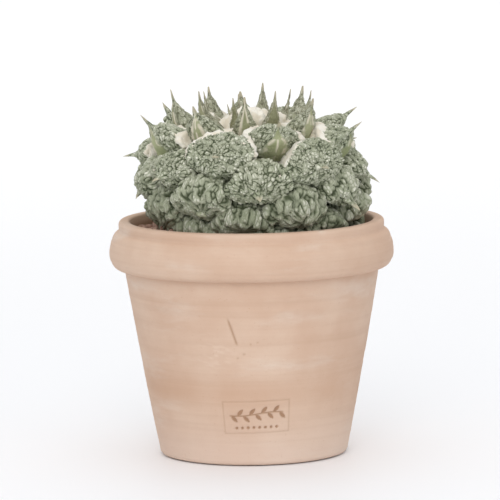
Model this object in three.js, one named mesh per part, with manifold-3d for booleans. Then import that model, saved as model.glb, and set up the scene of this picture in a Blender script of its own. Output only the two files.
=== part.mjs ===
// A warty round cactus in a terracotta pot. Millimetres, +Z up, the front is -Y.
// The origin is the centre of the pot's foot, on the surface that the pot stands on.
//
// The plant is a low stem with a taproot. Thick pointed tubercles grow out of the stem one by one, each a
// golden angle round from the last. Number 0 is the youngest, in the middle of the crown, and the highest
// numbers are the oldest, down at the soil. Young ones stand up, old ones lean out and droop. Where two
// neighbours meet they are pressed flat against each other, so each pair is parted by one plane.
import * as THREE from 'three';
import { mergeVertices } from 'three/addons/utils/BufferGeometryUtils.js';
import Module from 'manifold-3d';

const wasm = await Module();
wasm.setup();

// ---------------------------------------------------------------- driving sizes

const seatGap = 0.3; // between pieces that touch
const roundSegments = 36; // round the pot and everything turned inside it
const plantSegments = 24; // round the stem and the wool

const potHeight = 124.3;
const rimRadius = 75.2; // at the widest part of the rim's roll
const lipSetIn = 4.9; // from the roll's widest part in to the plain lip above it
const lipHeight = 4.6;
const lipRound = 1.8; // rounding of the lip's two edges
const rollHeight = 20.4; // roll, from its underside to the groove below the lip
const rollUndercut = 7.7; // how far the roll stands out from the wall under it
const footRadius = 50; // where the wall meets the foot's rounded edge
const footRound = 3;
const wall = 6.3; // thickness of the wall and of the lip
const floorThickness = 8;
const floorRound = 5; // between the floor and the wall, inside
const mouthWaist = 1.6; // how much the mouth narrows a little below the lip
const drainRadius = 11;

const soilDepth = 9; // from the lip's top down to the soil
const gravelDepth = 3.6; // thickness of the gravel on the soil
const gravelBump = 0.9; // how far the gravel's top waves up and down

const plantOverhang = 4; // how far the longest tubercles reach out past the mouth
const stemCrownHeight = 24; // from the stem's widest level up to its apex
const stemUnderside = 48.6; // half height of the ellipsoid that shapes its underside
const stemNeckHeight = 30; // from the stem's widest level down to its neck
const neckDepth = 5; // of the neck under the gravel's top
const rootLength = 66; // from the neck down to the root's end
const rootShoulder = 24; // root radius a third of the way down

const tubercleCount = 55;
const tubercleLength = 36; // of the longest, from the stem to its point
const tubercleHalfWidth = 19; // of the widest
const tubercleHalfDepth = 14; // from its middle line up to its wrinkled face, of the thickest
const keelDepth = 8; // and from its middle line down to its keel
const firstAzimuth = 146; // degrees from the front towards the right, of tubercle 0
const lowestPolar = 116; // degrees from the apex round the stem, of the oldest tubercle
const polarPower = 0.72; // under 1, so that the crown is packed closer
const youngLean = 20; // degrees from upright, of the young tubercles
const oldLean = 130; // and of the old ones, which droop
const leanFrom = 9; // the lean changes between these two numbers
const leanTo = 44;
const youngHook = 22; // degrees that a young tubercle's middle line swings out before its point turns up

const woolDepth = 3.2; // of the felt on the stem between the young tubercles
const woolReach = 62; // degrees from the apex

// ---------------------------------------------------------------- sizes that follow from them

const lipRadius = rimRadius - lipSetIn;
const mouthRadius = lipRadius - wall;
const plantSpread = mouthRadius + plantOverhang;
const facetGap = 0.25; // the flat sides of a faceted ring stand that much nearer than its corners
const grooveZ = potHeight - lipHeight;
const rollBottomZ = grooveZ - rollHeight;
const wallTopRadius = rimRadius - rollUndercut;
const soilTop = potHeight - soilDepth;
const gravelTop = soilTop + seatGap + gravelDepth;
const stemRadius = plantSpread - tubercleLength * 0.83;
const stemZ = gravelTop + stemNeckHeight - neckDepth; // height of the stem's widest level
const neckZ = stemZ - stemNeckHeight;
const goldenAngle = 180 * (3 - Math.sqrt(5));

const deg = Math.PI / 180;
const point = (r, z) => new THREE.Vector2(r, z);
const mix = (a, b, t) => a + (b - a) * t;
const clamp01 = (t) => Math.min(1, Math.max(0, t));
const smooth = (t) => clamp01(t) ** 2 * (3 - 2 * clamp01(t));
// A repeatable number from 0 to 1 for each whole number n.
const chance = (n) => Math.abs(Math.sin(n * 12.9898 + 4.1) * 43758.5453) % 1;

// ---------------------------------------------------------------- making solids

// Points of an arc in the (radius, height) plane, from one angle to another in degrees.
function arc(centreR, centreZ, radiusR, radiusZ, from, to, steps) {
  return Array.from({ length: steps + 1 }, (_, i) => {
    const a = mix(from, to, i / steps) * deg;
    return point(centreR + radiusR * Math.cos(a), centreZ + radiusZ * Math.sin(a));
  });
}

// A profile of (radius, height) points turned round the Z axis.
function turned(profile, segments = roundSegments) {
  return new THREE.LatheGeometry(profile, segments).rotateX(Math.PI / 2);
}

function solidOf(geometry) {
  const bare = new THREE.BufferGeometry()
    .setAttribute('position', geometry.getAttribute('position').clone())
    .setIndex(geometry.index);
  const merged = mergeVertices(bare, 1e-3);
  return new wasm.Manifold(
    new wasm.Mesh({
      numProp: 3,
      vertProperties: new Float32Array(merged.attributes.position.array),
      triVerts: new Uint32Array(merged.index.array),
    }),
  );
}

function geometryOf(solid) {
  const mesh = solid.getMesh();
  return new THREE.BufferGeometry()
    .setAttribute('position', new THREE.BufferAttribute(mesh.vertProperties, 3))
    .setIndex(new THREE.BufferAttribute(mesh.triVerts, 1));
}

// The biggest of the separate lumps that a cut leaves.
function biggestLump(solid) {
  return solid.decompose().reduce((a, b) => (b.volume() > a.volume() ? b : a));
}

// A big block with one face on the plane through `at`, which fills the side that `towards` points to.
const blockSize = 400;
function halfSpace(at, towards) {
  const turn = new THREE.Quaternion().setFromUnitVectors(new THREE.Vector3(0, 0, 1), towards);
  const box = new THREE.BoxGeometry(blockSize, blockSize, blockSize)
    .translate(0, 0, blockSize / 2)
    .applyQuaternion(turn)
    .translate(at.x, at.y, at.z);
  return solidOf(box);
}

// ---------------------------------------------------------------- pot, soil and gravel

// Radius of the pot's outside wall at a height, which tapers straight from the roll to the foot.
const wallRadiusAt = (z) => mix(footRadius, wallTopRadius, (z - footRound) / (rollBottomZ - footRound));

// Inside of the pot, from the rounded edge of its floor up to its mouth, moved in by a gap.
function cavity(gap = 0) {
  const edgeZ = floorThickness + floorRound;
  const shoulderZ = rollBottomZ - 4;
  return [
    point(wallRadiusAt(edgeZ) - wall - floorRound - gap, floorThickness + gap),
    point(wallRadiusAt(edgeZ) - wall - gap, edgeZ + gap / 2),
    point(wallRadiusAt(shoulderZ) - wall - gap, shoulderZ),
    point(mouthRadius - mouthWaist - gap, grooveZ - 4),
  ];
}

// Radius of what fills the pot, at a height.
function fillRadiusAt(z) {
  const outline = cavity(seatGap + facetGap);
  const above = outline.findIndex((p) => p.y > z);
  const to = outline[above < 1 ? outline.length - 1 : above];
  const from = outline[outline.indexOf(to) - 1];
  return mix(from.x, to.x, clamp01((z - from.y) / (to.y - from.y)));
}

function potGeometry() {
  const rollMiddleZ = rollBottomZ + rollHeight * 0.48;
  const profile = [
    point(drainRadius, 0),
    ...arc(footRadius - footRound, footRound, footRound, footRound, -90, 0, 3),
    point(wallTopRadius, rollBottomZ),
    // the roll: a quick curve out at the bottom and a slow one back in to the groove
    ...arc(wallTopRadius, rollMiddleZ, rimRadius - wallTopRadius, rollHeight * 0.44, -60, 0, 3),
    ...arc(lipRadius, rollMiddleZ, rimRadius - lipRadius, rollHeight * 0.52, 22, 90, 3),
    ...arc(lipRadius - lipRound, potHeight - lipRound, lipRound, lipRound, 0, 90, 2),
    ...arc(mouthRadius + lipRound, potHeight - lipRound, lipRound, lipRound, 90, 180, 2),
    ...cavity().reverse(),
    point(drainRadius, floorThickness),
    point(drainRadius, 0),
  ];
  return turned(profile);
}

// Radius of the stem above its neck, where it is an ellipsoid with a rounder underside.
function stemRadiusAt(z) {
  const share = (z - stemZ) / (z > stemZ ? stemCrownHeight : stemUnderside);
  return stemRadius * Math.sqrt(Math.max(0, 1 - share * share));
}

// Outline of the stem and its root, swollen by `grow` for the hole in the soil.
function stemProfile(grow = 0) {
  const crown = arc(0, stemZ, stemRadius + grow, stemCrownHeight + grow, 0, 90, 6);
  const neckAngle = Math.asin(stemNeckHeight / stemUnderside) / deg;
  const under = arc(0, stemZ, stemRadius + grow, stemUnderside, -neckAngle, 0, 3);
  const rootZ = (share) => neckZ - rootLength * share;
  return [
    point(0, rootZ(1) - grow),
    point(rootShoulder * 0.22 + grow, rootZ(0.93)),
    point(rootShoulder * 0.62 + grow, rootZ(0.68)),
    point(rootShoulder + grow, rootZ(0.33)),
    point(mix(rootShoulder, stemRadiusAt(neckZ), 0.6) + grow, rootZ(0.12)),
    ...under,
    ...crown.slice(1, -1),
    point(0, stemZ + stemCrownHeight + grow),
  ];
}

function soilGeometry() {
  const outline = cavity(seatGap + facetGap).filter((p) => p.y < soilTop);
  const bed = turned([
    point(0, outline[0].y),
    ...outline,
    point(fillRadiusAt(soilTop), soilTop),
    point(0, soilTop),
  ]);
  return geometryOf(solidOf(bed).subtract(solidOf(turned(stemProfile(seatGap), plantSegments))));
}

// A ring of gravel round the stem, with a top that waves from stone to stone.
function gravelGeometry() {
  const floorZ = soilTop + seatGap;
  const inner = stemRadiusAt(gravelTop) + 2 * seatGap;
  const outer = fillRadiusAt(gravelTop);
  const ring = turned([
    point(inner, floorZ),
    point(fillRadiusAt(floorZ), floorZ),
    point(outer, gravelTop - gravelBump),
    point(mix(inner, outer, 0.68), gravelTop - gravelBump),
    point(mix(inner, outer, 0.34), gravelTop - gravelBump),
    point(inner, gravelTop - gravelBump),
    point(inner, floorZ),
  ]);
  const place = ring.getAttribute('position');
  for (let i = 0; i < place.count; i++) {
    const onTop = place.getZ(i) > gravelTop - gravelBump - 0.01;
    const stone = Math.round(place.getX(i) * 7) + 31 * Math.round(place.getY(i) * 7);
    if (onTop) place.setZ(i, gravelTop - 2 * gravelBump * chance(stone));
  }
  return ring;
}


// ---------------------------------------------------------------- tubercles

// Where tubercle k grows and how big it is.
function tuberclePlan(k) {
  const azimuth = (firstAzimuth + goldenAngle * k - 90) * deg;
  const outward = new THREE.Vector3(Math.cos(azimuth), Math.sin(azimuth), 0);
  const up = new THREE.Vector3(0, 0, 1);
  const along = (fromUpright) =>
    outward.clone().multiplyScalar(Math.sin(fromUpright)).addScaledVector(up, Math.cos(fromUpright));

  const polar = lowestPolar * deg * ((k + 0.4) / tubercleCount) ** polarPower;
  const below = polar > Math.PI / 2;
  const halfHeight = below ? stemUnderside : stemCrownHeight;
  const base = outward.clone().multiplyScalar(stemRadius * Math.sin(polar));
  base.z = stemZ + halfHeight * Math.cos(polar);
  const facing = Math.atan2(Math.sin(polar) / stemRadius, Math.cos(polar) / halfHeight);
  const normal = along(facing);

  const age = k / (tubercleCount - 1);
  const lean = mix(youngLean, oldLean, smooth((k - leanFrom) / (leanTo - leanFrom))) * deg;
  const grown = 1 - Math.exp(-(k + 3) / 5);
  const aged = 1 - 0.42 * smooth((age - 0.28) / 0.72);
  const length = tubercleLength * grown * aged * mix(0.95, 1.05, chance(k));
  const breadth = mix(0.2, 1, smooth((k + 1) / 27)) * (1 - 0.3 * smooth((age - 0.66) / 0.34));
  const hook = youngHook * deg * clamp01(1 - k / 30);
  const swing = mix(facing, lean, 0.3) + hook;
  return {
    k,
    outward,
    base: base.clone().addScaledVector(normal, seatGap),
    normal,
    side: up.clone().cross(outward),
    control: base.clone().addScaledVector(along(swing), length * 0.55),
    tip: base.clone().addScaledVector(along(lean), length),
    halfWidth: tubercleHalfWidth * breadth,
    halfDepth:
      tubercleHalfDepth * mix(0.35, 1, smooth((k + 2) / 24)) * (1 - 0.24 * smooth((age - 0.66) / 0.34)),
  };
}

// Middle line of a tubercle: a curve from its base through its control point to its point.
function middleLine(plan, t) {
  const a = (1 - t) * (1 - t);
  const b = 2 * t * (1 - t);
  const place = plan.base.clone().multiplyScalar(a);
  return place.addScaledVector(plan.control, b).addScaledVector(plan.tip, t * t);
}

// Cross-section, as (across, deep): a high rounded upper face, two side edges and a low keel underneath.
const keel = keelDepth / tubercleHalfDepth;
const section = [
  [1, 0], [0.76, 0.66], [0.28, 1], [-0.28, 1], [-0.76, 0.66], [-1, 0],
  [-0.5, -0.6 * keel], [0, -keel], [0.5, -0.6 * keel],
];
// Along the tubercle: [place, share of its width, share of its depth].
const stations = [[0, 0.6, 0.6], [0.22, 0.92, 0.92], [0.46, 1, 1], [0.7, 0.68, 0.58], [0.85, 0.24, 0.26]];

// `grow` swells it to the sides and down at its base, for cutting the hole that it comes through.
function tubercleGeometry(plan, grow = 0) {
  const places = [];
  const cap = middleLine(plan, 0).addScaledVector(plan.normal, -2 * grow);
  const ring = section.length;
  stations.forEach(([t, width, depth], s) => {
    const centre = s === 0 ? cap : middleLine(plan, t);
    const onwards = middleLine(plan, t + 0.02).sub(middleLine(plan, t - 0.02)).normalize();
    const ahead = s === 0 ? plan.normal.clone() : onwards;
    const face = ahead.clone().cross(plan.side).normalize(); // towards the wrinkled upper face
    if (face.dot(plan.outward) > 0 && face.z < 0) face.negate();
    section.forEach(([across, deep]) => {
      const p = centre
        .clone()
        .addScaledVector(plan.side, across * (width * plan.halfWidth + grow))
        .addScaledVector(face, deep * (depth * plan.halfDepth + grow));
      places.push(p.x, p.y, p.z);
    });
  });
  places.push(cap.x, cap.y, cap.z, plan.tip.x, plan.tip.y, plan.tip.z);
  const capIndex = ring * stations.length;
  const tipIndex = capIndex + 1;
  const faces = [];
  for (let i = 0; i < ring; i++) {
    const j = (i + 1) % ring;
    faces.push(capIndex, j, i);
    for (let s = 0; s < stations.length - 1; s++) {
      const a = s * ring;
      const b = a + ring;
      faces.push(a + i, a + j, b + j, a + i, b + j, b + i);
    }
    const last = (stations.length - 1) * ring;
    faces.push(last + i, last + j, tipIndex);
  }
  return new THREE.BufferGeometry()
    .setAttribute('position', new THREE.Float32BufferAttribute(places, 3))
    .setIndex(faces);
}

// How far a tubercle reaches from its middle line in a direction: half an ellipse above, half one below.
function reach(plan, direction) {
  const growing = plan.tip.clone().sub(plan.base).normalize();
  const across = direction.dot(plan.side) * plan.halfWidth;
  const deep = direction.dot(growing.cross(plan.side).normalize()) * plan.halfDepth;
  return Math.hypot(across, deep * (deep < 0 ? keel : 1));
}

// The plane that parts two neighbours runs along the way they both grow, nearer to the one that reaches less.
function partingPlane(a, b) {
  const middleA = middleLine(a, 0.45);
  const middleB = middleLine(b, 0.45);
  const growingA = a.tip.clone().sub(a.base).normalize();
  const growingB = b.tip.clone().sub(b.base).normalize();
  const growing = growingA.add(growingB).normalize();
  const between = middleB.clone().sub(middleA);
  const towardsB = between.addScaledVector(growing, -between.dot(growing)).normalize();
  const reachA = reach(a, towardsB);
  const reachB = reach(b, towardsB.clone().negate());
  const at = middleA.lerp(middleB, reachA / (reachA + reachB));
  return { at, towardsB };
}

function tubercleSolids(plans) {
  const whole = plans.map((plan) => solidOf(tubercleGeometry(plan)));
  const gravelLevel = new THREE.Vector3(0, 0, gravelTop + seatGap);
  const underneath = halfSpace(gravelLevel, new THREE.Vector3(0, 0, -1));
  const cut = whole.map((solid) => solid.subtract(underneath));
  for (let a = 0; a < tubercleCount; a++) {
    for (let b = a + 1; b < tubercleCount; b++) {
      if (whole[a].intersect(whole[b]).volume() === 0) continue;
      const { at, towardsB } = partingPlane(plans[a], plans[b]);
      const half = towardsB.clone().multiplyScalar(seatGap / 2);
      cut[a] = cut[a].subtract(halfSpace(at.clone().sub(half), towardsB));
      cut[b] = cut[b].subtract(halfSpace(at.clone().add(half), towardsB.clone().negate()));
    }
  }
  return cut.map(biggestLump);
}

// ---------------------------------------------------------------- wool

// A felt of wool over the stem's crown, open wherever a tubercle comes through.
function woolGeometry(plans) {
  const skin = (grow, from, to) => arc(0, stemZ, stemRadius + grow, stemCrownHeight + grow, from, to, 4);
  const under = seatGap + 1.2 * facetGap;
  const felt = turned(
    [
      point(0, stemZ + stemCrownHeight + under),
      ...skin(under, 90, 90 - woolReach).slice(1),
      ...skin(woolDepth, 90 - woolReach, 90).slice(0, -1),
      point(0, stemZ + stemCrownHeight + woolDepth),
    ],
    plantSegments,
  );
  const holes = plans.map((plan) => solidOf(tubercleGeometry(plan, seatGap)));
  return geometryOf(biggestLump(holes.reduce((left, hole) => left.subtract(hole), solidOf(felt))));
}

// ---------------------------------------------------------------- the whole object

const terracotta = new THREE.MeshStandardMaterial({ color: 0xdbbba1, roughness: 0.9, metalness: 0 });
const earth = new THREE.MeshStandardMaterial({ color: 0x5a4636, roughness: 1, metalness: 0 });
const lavaGravel = new THREE.MeshStandardMaterial({ color: 0xa98672, roughness: 0.95, metalness: 0 });
const greenFlesh = new THREE.MeshStandardMaterial({ color: 0x7d8c5f, roughness: 0.75, metalness: 0 });
const wartySkin = new THREE.MeshStandardMaterial({ color: 0x8f9a80, roughness: 0.85, metalness: 0 });
const creamWool = new THREE.MeshStandardMaterial({ color: 0xe2d8c4, roughness: 1, metalness: 0 });

const pottedCactus = new THREE.Group();

function add(name, geometry, material) {
  const mesh = new THREE.Mesh(geometry, material);
  mesh.name = name;
  pottedCactus.add(mesh);
}

const plans = Array.from({ length: tubercleCount }, (_, k) => tuberclePlan(k));
add('pot', potGeometry(), terracotta);
add('soil', soilGeometry(), earth);
add('gravel', gravelGeometry(), lavaGravel);
add('stem_with_taproot', turned(stemProfile(), plantSegments), greenFlesh);
add('crown_wool', woolGeometry(plans), creamWool);
tubercleSolids(plans).forEach((solid, k) => {
  add(`tubercle_${String(k + 1).padStart(2, '0')}`, geometryOf(solid), wartySkin);
});

export default pottedCactus;
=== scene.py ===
# A warty round cactus in a clay pot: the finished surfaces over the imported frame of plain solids.
import math
import bpy
import numpy as np
from mathutils import Euler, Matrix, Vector


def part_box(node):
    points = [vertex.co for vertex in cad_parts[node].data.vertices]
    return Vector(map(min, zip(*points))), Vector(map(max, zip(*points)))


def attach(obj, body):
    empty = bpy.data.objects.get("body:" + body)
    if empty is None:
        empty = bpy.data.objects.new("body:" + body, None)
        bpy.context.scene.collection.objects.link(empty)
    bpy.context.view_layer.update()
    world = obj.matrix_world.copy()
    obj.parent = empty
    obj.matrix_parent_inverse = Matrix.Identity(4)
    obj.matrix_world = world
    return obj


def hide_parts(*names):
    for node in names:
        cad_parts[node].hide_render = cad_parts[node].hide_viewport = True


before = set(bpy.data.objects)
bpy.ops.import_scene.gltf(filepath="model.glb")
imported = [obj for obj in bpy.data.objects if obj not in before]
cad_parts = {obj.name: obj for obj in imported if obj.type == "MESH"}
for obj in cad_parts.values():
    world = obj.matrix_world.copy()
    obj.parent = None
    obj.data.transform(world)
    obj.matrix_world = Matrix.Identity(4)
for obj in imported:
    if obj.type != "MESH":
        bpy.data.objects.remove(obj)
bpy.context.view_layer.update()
print("frame loaded")

mm = 0.001
goldenAngle = math.pi * (3 - math.sqrt(5))


def smoothStep(x, low=0.0, high=1.0):
    # 0 below low, 1 above high, and an S curve between them
    t = np.clip((x - low) / (high - low), 0.0, 1.0)
    return t * t * (3 - 2 * t)


def mix(a, b, t):
    # a where t is 0, b where t is 1, and in proportion between them
    return a + (b - a) * t


def near(value, centre, width):
    # a bell: 1 at the centre, falling as exp(-(distance / width)^2)
    return np.exp(-((value - centre) / width) ** 2)


def unit(v):
    # each vector divided by its own length
    return v / np.maximum(np.linalg.norm(v, axis=-1, keepdims=True), 1e-12)


def onBall(polar, angle):
    # points of a ball of radius 1: polar is the angle down from the top, angle the turn round
    return np.stack([np.sin(polar) * np.cos(angle), np.sin(polar) * np.sin(angle),
                     np.cos(polar) + 0 * angle], axis=-1)


def hashed(ix, iy, iz, seed):
    # a fixed number from 0 to 1 for each whole-number point: its three numbers multiplied, mixed and
    # cut to 32 bits
    h = ((ix * 73856093) ^ (iy * 19349663) ^ (iz * 83492791) ^ (seed * 40503 + 977)) & 0xFFFFFFFF
    h = ((h ^ (h >> 15)) * 1274126177) & 0xFFFFFFFF
    h = ((h ^ (h >> 13)) * 668265263) & 0xFFFFFFFF
    return (h ^ (h >> 16)) / 4294967295.0


def softNoise(p, scale, seed):
    # -1 to 1: the hashed numbers of the eight lattice corners round each point, blended with an S curve
    q = p / scale
    cell = np.floor(q).astype(np.int64)
    t = q - cell
    t = t * t * (3 - 2 * t)
    total = np.zeros(p.shape[:-1])
    for corner in range(8):
        dx, dy, dz = corner & 1, corner >> 1 & 1, corner >> 2
        weight = (np.where(dx, t[..., 0], 1 - t[..., 0]) * np.where(dy, t[..., 1], 1 - t[..., 1])
                  * np.where(dz, t[..., 2], 1 - t[..., 2]))
        total += weight * hashed(cell[..., 0] + dx, cell[..., 1] + dy, cell[..., 2] + dz, seed)
    return total * 2 - 1


def cells(p, seed):
    # one seed point in each unit cube, jittered about its middle: the distance from each point to its
    # nearest and its second-nearest seed, and a random number that belongs to the nearest
    jitter, tooFar = 0.84, 9.0
    corner = np.floor(p).astype(np.int64)
    first, second, own = (np.full(p.shape[:-1], value) for value in (tooFar, tooFar, 0.0))
    for offset in np.ndindex(3, 3, 3):
        cube = corner + np.array(offset) - 1
        x, y, z = cube[..., 0], cube[..., 1], cube[..., 2]
        away = [(side + 0.5 + jitter * (hashed(x, y, z, seed + i) - 0.5) - p[..., i]) ** 2
                for i, side in enumerate((x, y, z))]
        d = np.sqrt(away[0] + away[1] + away[2])
        second = np.minimum(np.maximum(first, d), second)
        own = np.where(d < first, hashed(x, y, z, seed + 3), own)
        first = np.minimum(first, d)
    return first, second, own


def pillow(first, second, width):
    # a rounded lobe on each cell: 0 in the crease between two cells, 1 on the lobe's back
    t = np.clip((second - first) / width, 0, 1)
    return 1 - (1 - t) ** 2.4


def ringFaces(rows, ring):
    # quads between each two rings of points, wrapped round
    i = np.arange(rows - 1)[:, None] * ring
    j = np.arange(ring)[None, :]
    k = (j + 1) % ring
    return np.stack([i + j, i + k, i + ring + k, i + ring + j], axis=-1).reshape(-1, 4)


def volumeOf(points, quads, triangles):
    # six times the signed volume, the sum of a . (b x c) over triangles: above 0 when faces point outwards
    corners = np.concatenate([quads[:, :3], quads[:, [0, 2, 3]], triangles])
    a, b, c = (points[corners[:, i]] for i in range(3))
    return np.einsum("ij,ij->", a, np.cross(b, c))


def closedTube(grid, startPoint=None, endPoint=None):
    # a grid of rings closed by one point at each end, or by the end ring's middle where none is given,
    # as (points, quads, triangles) with the faces outwards
    rows, ring = grid.shape[:2]
    startPoint = grid[0].mean(axis=0) if startPoint is None else startPoint
    endPoint = grid[-1].mean(axis=0) if endPoint is None else endPoint
    points = np.concatenate([grid.reshape(-1, 3), [startPoint], [endPoint]])
    quads = ringFaces(rows, ring)
    j = np.arange(ring)
    k = (j + 1) % ring
    start, end, last = rows * ring, rows * ring + 1, (rows - 1) * ring
    triangles = np.concatenate([np.stack([np.full(ring, start), k, j], axis=-1),
                                np.stack([last + j, last + k, np.full(ring, end)], axis=-1)])
    if volumeOf(points, quads, triangles) < 0:
        quads, triangles = quads[:, ::-1], triangles[:, ::-1]
    return points, quads, triangles


def makePiece(name, points, quads, triangles, material, marks, stands):
    # the mesh from whole arrays in millimetres, with its marks as point attributes; it rides the one body
    # and is shown in place of the solids that it stands for
    mesh = bpy.data.meshes.new(name)
    loops = np.concatenate([quads.reshape(-1), triangles.reshape(-1)]).astype(np.int32)
    sizes = np.concatenate([np.full(len(quads), 4), np.full(len(triangles), 3)])
    starts = np.concatenate([[0], np.cumsum(sizes)[:-1]]).astype(np.int32)
    mesh.vertices.add(len(points))
    mesh.vertices.foreach_set("co", (points * mm).astype(np.float32).reshape(-1))
    mesh.loops.add(len(loops))
    mesh.loops.foreach_set("vertex_index", loops)
    mesh.polygons.add(len(sizes))
    mesh.polygons.foreach_set("loop_start", starts)
    for markName, values in marks.items():
        layer = mesh.attributes.new(markName, "FLOAT", "POINT")
        layer.data.foreach_set("value", values.astype(np.float32).reshape(-1))
    mesh.update(calc_edges=True)
    mesh.validate()
    mesh.polygons.foreach_set("use_smooth", np.ones(len(mesh.polygons), dtype=bool))
    mesh.materials.append(material)
    piece = bpy.data.objects.new(name, mesh)
    bpy.context.scene.collection.objects.link(piece)
    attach(piece, "root")
    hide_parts(*stands)
    return 2 * len(quads) + len(triangles)


def colour(hexText):
    # sRGB hex to linear
    parts = [int(hexText[i:i + 2], 16) / 255 for i in (1, 3, 5)]
    return tuple(c / 12.92 if c <= 0.04045 else ((c + 0.055) / 1.055) ** 2.4 for c in parts) + (1.0,)


def addNode(tree, kind, settings=None, inputs=None, output=0):
    # a node with its properties set, and each input given a value or linked from another node's socket;
    # gives back one of its output sockets
    node = tree.nodes.new("ShaderNode" + kind)
    for key, value in (settings or {}).items():
        setattr(node, key, value)
    for key, value in (inputs or {}).items():
        if isinstance(value, bpy.types.NodeSocket):
            tree.links.new(value, node.inputs[key])
        else:
            node.inputs[key].default_value = value
    return node.outputs[output] if node.outputs else None


def newMaterial(name, clouds=(), marks=()):
    # an empty material with its tree, the place of each point in metres, a cloudy pattern for each
    # (size in millimetres, detail, roughness), and the values of the piece's own marks
    material = bpy.data.materials.new(name)
    material.use_nodes = True
    tree = material.node_tree
    tree.nodes.clear()
    place = addNode(tree, "TexCoord", output="Object")
    clouds = [addNode(tree, "TexNoise", {}, {
        "Vector": place, "Scale": 1 / (size * mm), "Detail": detail, "Roughness": roughness})
        for size, detail, roughness in clouds]
    marks = [addNode(tree, "Attribute", {"attribute_name": mark}, output="Fac") for mark in marks]
    return material, tree, place, clouds, marks


def paint(tree, below, *layers):
    # lays colours over each other. A layer is (colour, mask, low, high, least, most): as its mask rises from
    # low to high, the colour's share rises on an S curve from least to most, or from 0 to 1 without these.
    # With no range at all the mask itself is the share.
    below = colour(below) if isinstance(below, str) else below
    for over, mask, *span in layers:
        if span:
            span = dict(zip(("From Min", "From Max", "To Min", "To Max"), span))
            mask = addNode(tree, "MapRange", {"interpolation_type": "SMOOTHSTEP"}, {"Value": mask, **span})
        over = colour(over) if isinstance(over, str) else over
        below = addNode(tree, "Mix", {"data_type": "RGBA"}, {0: mask, 6: below, 7: over}, output=2)
    return below


def finish(tree, shaderValues, height=None, strength=0.0, deep=0.0):
    # the shader with its values, and a fine relief from a height pattern, deep millimetres at its deepest
    if height is not None:
        shaderValues["Normal"] = addNode(tree, "Bump", {}, {
            "Height": height, "Strength": strength, "Distance": deep * mm})
    surface = addNode(tree, "BsdfPrincipled", {}, shaderValues)
    addNode(tree, "OutputMaterial", {}, {"Surface": surface})


# Waxy cactus epidermis, grown: matt grey-green, bleached on the backs of the warts and dark in their creases.
def cactusEpidermis():
    material, tree, place, (drift, grain, pores), marks = newMaterial(
        "waxy_cactus_epidermis", ((14, 3, 0.55), (0.9, 3, 0.6), (0.5, 3, 0.55)),
        ("ridge", "wrinkled", "youth", "point", "edge", "tone", "lobeX", "lobeY", "lobeZ"))
    ridge, wrinkled, youth, point, edge, tone = marks[:6]
    # fine wrinkles that run lengthwise over the warts, from the distances in the tubercle's own directions
    flow = addNode(tree, "CombineXYZ", {}, {
        axis: addNode(tree, "Math", {"operation": "MULTIPLY"}, {0: along, 1: perMm})
        for axis, along, perMm in zip("XYZ", marks[6:], (0.8, 0.3, 0.8))})
    fold = addNode(tree, "TexVoronoi", {"feature": "DISTANCE_TO_EDGE", "voronoi_dimensions": "3D"}, {
        "Vector": flow, "Scale": 1.0, "Randomness": 1.0}, "Distance")
    wrinkle, onBack = (addNode(tree, "MapRange", {"interpolation_type": "SMOOTHSTEP"}, {
        "Value": value, "From Min": low, "From Max": high})
        for value, low, high in ((fold, 0.0, 0.26), (ridge, 0.38, 0.85)))
    rubbed, browned = (addNode(tree, "Math", {"operation": "MULTIPLY"}, {0: a, 1: b})
                       for a, b in ((onBack, wrinkle), (youth, 0.45)))
    high = addNode(tree, "SeparateXYZ", {}, {"Vector": place}, "Z")
    # creases stay dark green, backs are grey-green with paler rubbed spots, and the lowest ones are painted
    # darker: painted shade low on the plant
    crease = paint(tree, "#3f4731", ("#4f583d", drift, 0.35, 0.65))
    middle = paint(tree, "#a9af94", ("#b5b8a1", drift, 0.35, 0.65))
    back = paint(tree, "#d3d5c2", ("#ebe9dc", grain, 0.4, 0.65), ("#a9ae92", tone, 0.45, 0.0, 0.0, 0.55))
    warty = paint(tree, crease, (middle, ridge, 0.08, 0.5), (back, rubbed),
                  (crease, wrinkle, 0.0, 0.6, 0.2, 0.0), ("#5f674d", high, 0.128, 0.156, 0.3, 0.0))
    # young tubercles are browner, and every point and edge dries to a pale horn colour
    smoothGreen = paint(tree, "#8f966e", ("#a9ad88", drift, 0.38, 0.62))
    brown = paint(tree, "#8b846f", ("#b0a791", grain, 0.4, 0.7))
    skin = paint(tree, smoothGreen, (warty, wrinkled), (brown, browned),
                 ("#e6decb", edge, 0.2, 0.8, 0.0, 0.85), ("#c4baa3", point, 0.1, 0.9, 0.0, 0.75))
    low = addNode(tree, "Math", {"operation": "MULTIPLY"}, {0: pores, 1: 0.5})
    height = addNode(tree, "Math", {"operation": "MULTIPLY_ADD"}, {0: wrinkle, 1: 0.7, 2: low})
    finish(tree, {"Base Color": skin, "Roughness": 0.78, "IOR": 1.42}, height, 0.8, 0.35)
    return material


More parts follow.
